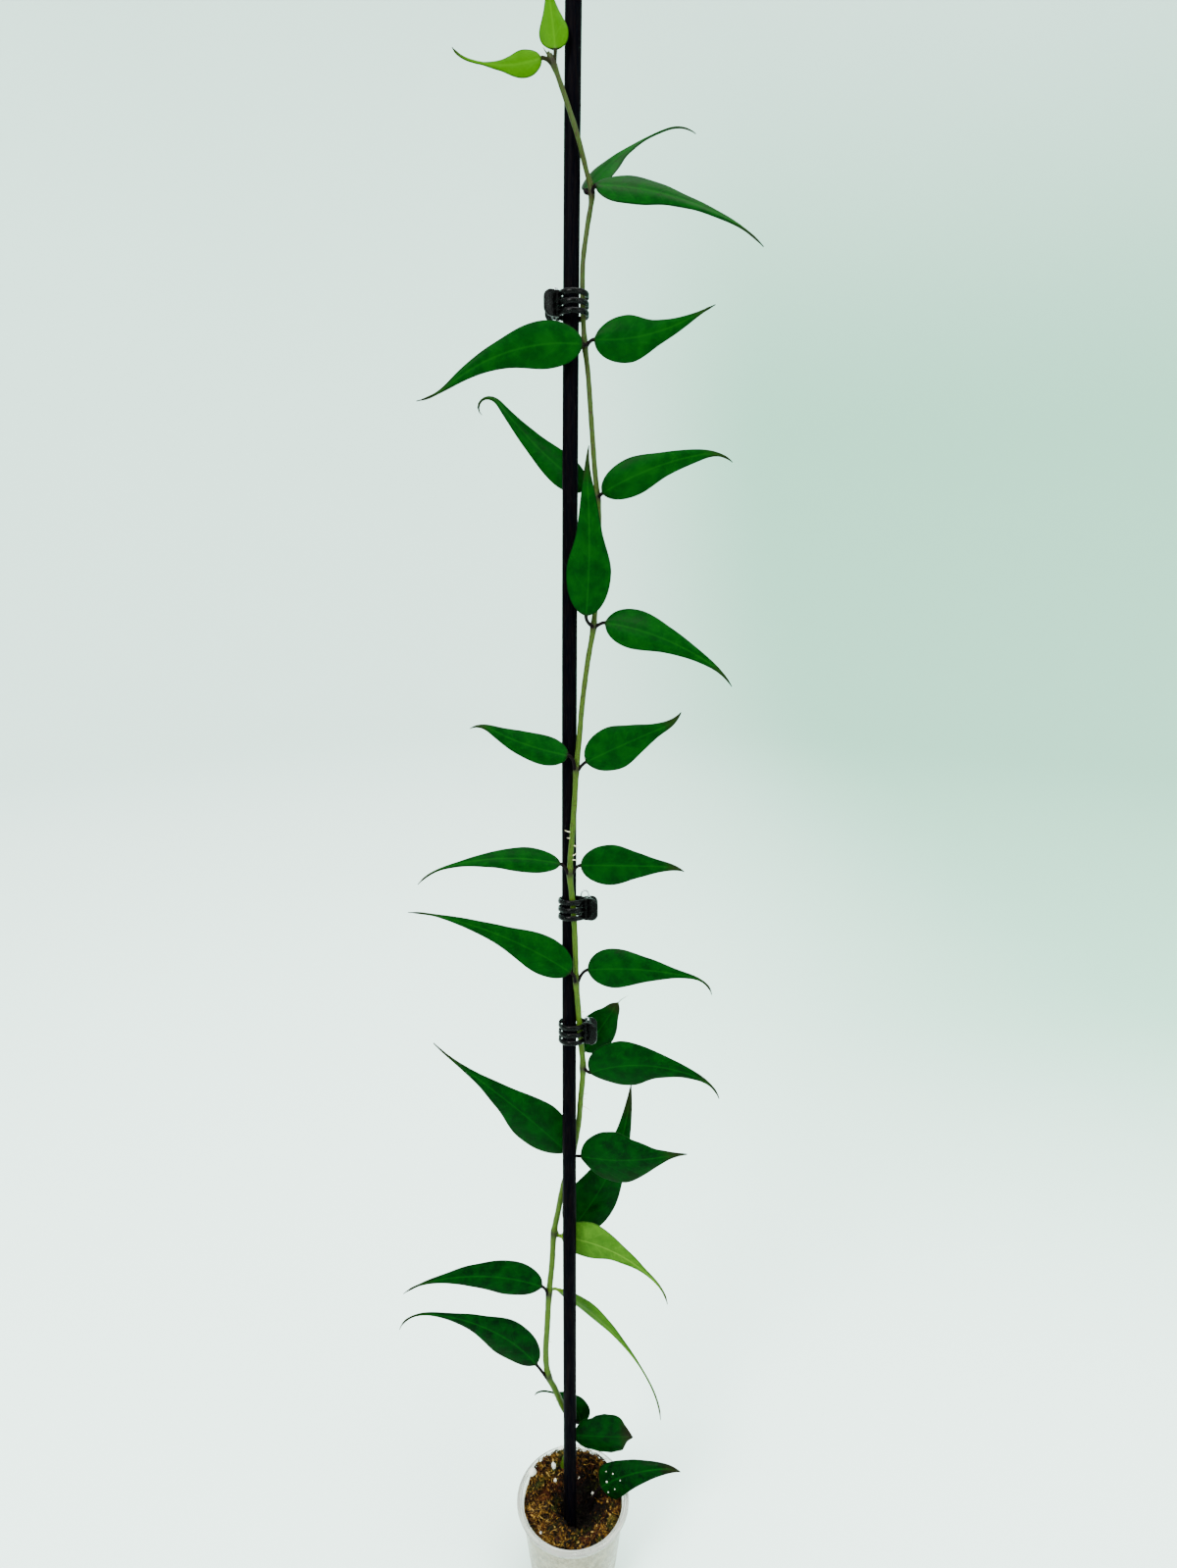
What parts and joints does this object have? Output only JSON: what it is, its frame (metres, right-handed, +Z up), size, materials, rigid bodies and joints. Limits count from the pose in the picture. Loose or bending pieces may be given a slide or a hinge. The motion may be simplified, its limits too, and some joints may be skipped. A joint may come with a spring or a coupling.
{
  "type": "potted climbing hoya",
  "caption": "Slender climbing hoya with pairs of long-tipped leaves, clipped to a dark bamboo stake that stands in a small clear cup of moss.",
  "frame": {"origin": "centre of the flat base of the cup, on the surface the cup stands on", "axes": "+Z up along the cup, -Y towards the viewer of the picture, +X to the right as the picture shows it"},
  "size_m": [0.1409, 0.0788, 0.7025],
  "materials": {
    "clear_plastic": "satin",
    "damp_moss": "matte",
    "dyed_bamboo": "satin",
    "stem_green": "satin",
    "leaf_green": "satin",
    "leaf_young": "satin",
    "leaf_under": "matte",
    "clip_black": "gloss",
    "spring_steel": "polished"
  },
  "bodies": {
    "plant": {"cup": "clear_plastic", "moss": "damp_moss", "stake": "dyed_bamboo", "stem": "stem_green", "leaf_01": "leaf_young", "leaf_02": "leaf_young", "leaf_03": "leaf_green", "leaf_04": "leaf_green", "leaf_05": "leaf_green", "leaf_06": "leaf_green", "leaf_07": "leaf_green", "leaf_08": "leaf_green", "leaf_09": "leaf_green", "leaf_10": "leaf_green", "leaf_11": "leaf_green", "leaf_12": "leaf_green", "leaf_13": "leaf_green", "leaf_14": "leaf_green", "leaf_15": "leaf_green", "leaf_16": "leaf_green", "leaf_17": "leaf_green", "leaf_18": "leaf_green", "leaf_19": "leaf_green", "leaf_20": "leaf_green", "leaf_21": "leaf_green", "leaf_22": "leaf_under", "leaf_23": "leaf_green", "leaf_24": "leaf_under", "leaf_25": "leaf_green", "leaf_26": "leaf_green", "leaf_27": "leaf_green", "leaf_28": "leaf_green", "clip_1_front_jaw": "clip_black", "clip_1_spring": "spring_steel", "clip_2_front_jaw": "clip_black", "clip_2_spring": "spring_steel", "clip_3_front_jaw": "clip_black", "clip_3_spring": "spring_steel"},
    "clip_1_back": {"clip_1_back_jaw": "clip_black"},
    "clip_2_back": {"clip_2_back_jaw": "clip_black"},
    "clip_3_back": {"clip_3_back_jaw": "clip_black"}
  },
  "joints": [
    {"name": "clip_1_hinge", "type": "hinge", "parent": "plant", "child": "clip_1_back", "pos_m": [-0.00489, 0.03191, 0.5638], "axis": [0, 0.0698, 0.9976], "range_deg": [0, 35], "stiffness_Nm_per_rad": 0.0002, "springref_deg": -34.38},
    {"name": "clip_2_hinge", "type": "hinge", "parent": "plant", "child": "clip_2_back", "pos_m": [0.00734, 0.01626, 0.3414], "axis": [0, -0.2079, -0.9781], "range_deg": [0, 35], "stiffness_Nm_per_rad": 0.0002, "springref_deg": -34.38},
    {"name": "clip_3_hinge", "type": "hinge", "parent": "plant", "child": "clip_3_back", "pos_m": [0.00713, 0.01266, 0.2886], "axis": [0, -0.1736, -0.9848], "range_deg": [0, 35], "stiffness_Nm_per_rad": 0.0002, "springref_deg": -34.38}
  ]
}
